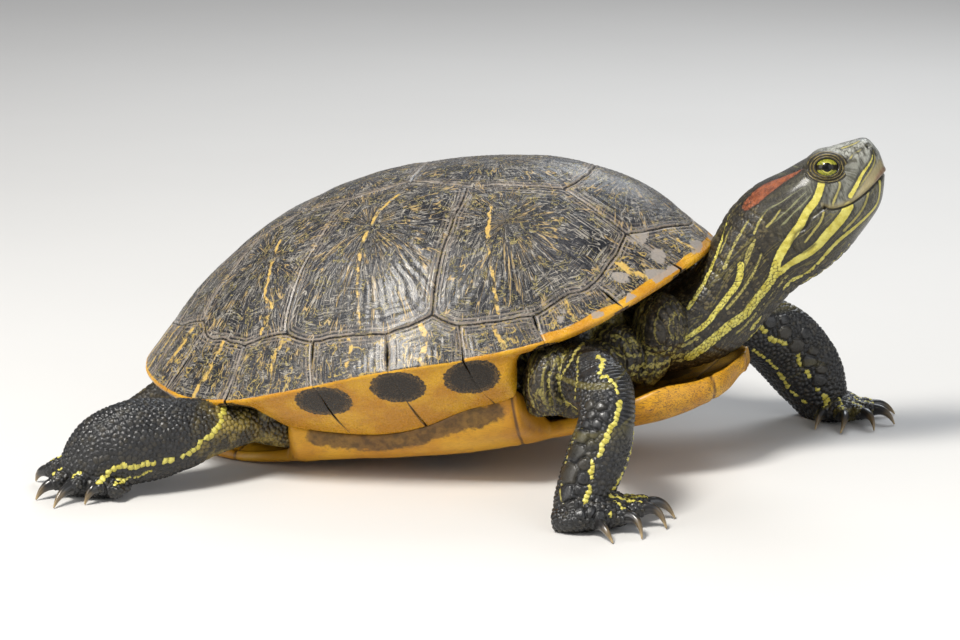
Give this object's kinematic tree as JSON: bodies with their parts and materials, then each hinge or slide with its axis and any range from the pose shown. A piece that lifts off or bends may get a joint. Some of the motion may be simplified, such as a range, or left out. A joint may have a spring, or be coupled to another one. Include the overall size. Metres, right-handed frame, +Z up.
{
  "type": "red-eared slider turtle",
  "caption": "Life-size still model of a red-eared slider turtle, propped on its forelegs with its neck stretched and head raised, for display on a floor or plinth.",
  "frame": {"origin": "middle of the bounding box, on the floor under the turtle", "axes": "+X towards the head, +Y to the turtle's left, +Z up"},
  "size_m": [0.3072, 0.2372, 0.1252],
  "materials": {
    "shell": "glossy horn plates",
    "belly": "worn satin horn plates",
    "skin": "fine scaly skin, half damp",
    "head_skin": "smooth tight skin",
    "beak": "satin horn",
    "eye": "wet gloss",
    "claw": "satin horn"
  },
  "bodies": {
    "root": {"carapace": "shell", "plastron": "belly", "trunk": "skin", "neck": "skin", "tail": "skin", "head": "head_skin", "lower_jaw": "beak", "eye_left": "eye", "eye_right": "eye", "leg_front_right": "skin", "claw_front_right_1": "claw", "claw_front_right_2": "claw", "claw_front_right_3": "claw", "claw_front_right_4": "claw", "claw_front_right_5": "claw", "leg_front_left": "skin", "claw_front_left_1": "claw", "claw_front_left_2": "claw", "claw_front_left_3": "claw", "claw_front_left_4": "claw", "claw_front_left_5": "claw", "leg_hind_right": "skin", "claw_hind_right_2": "claw", "claw_hind_right_3": "claw", "claw_hind_right_4": "claw", "claw_hind_right_5": "claw", "leg_hind_left": "skin", "claw_hind_left_2": "claw", "claw_hind_left_3": "claw", "claw_hind_left_4": "claw", "claw_hind_left_5": "claw"}
  },
  "joints": []
}
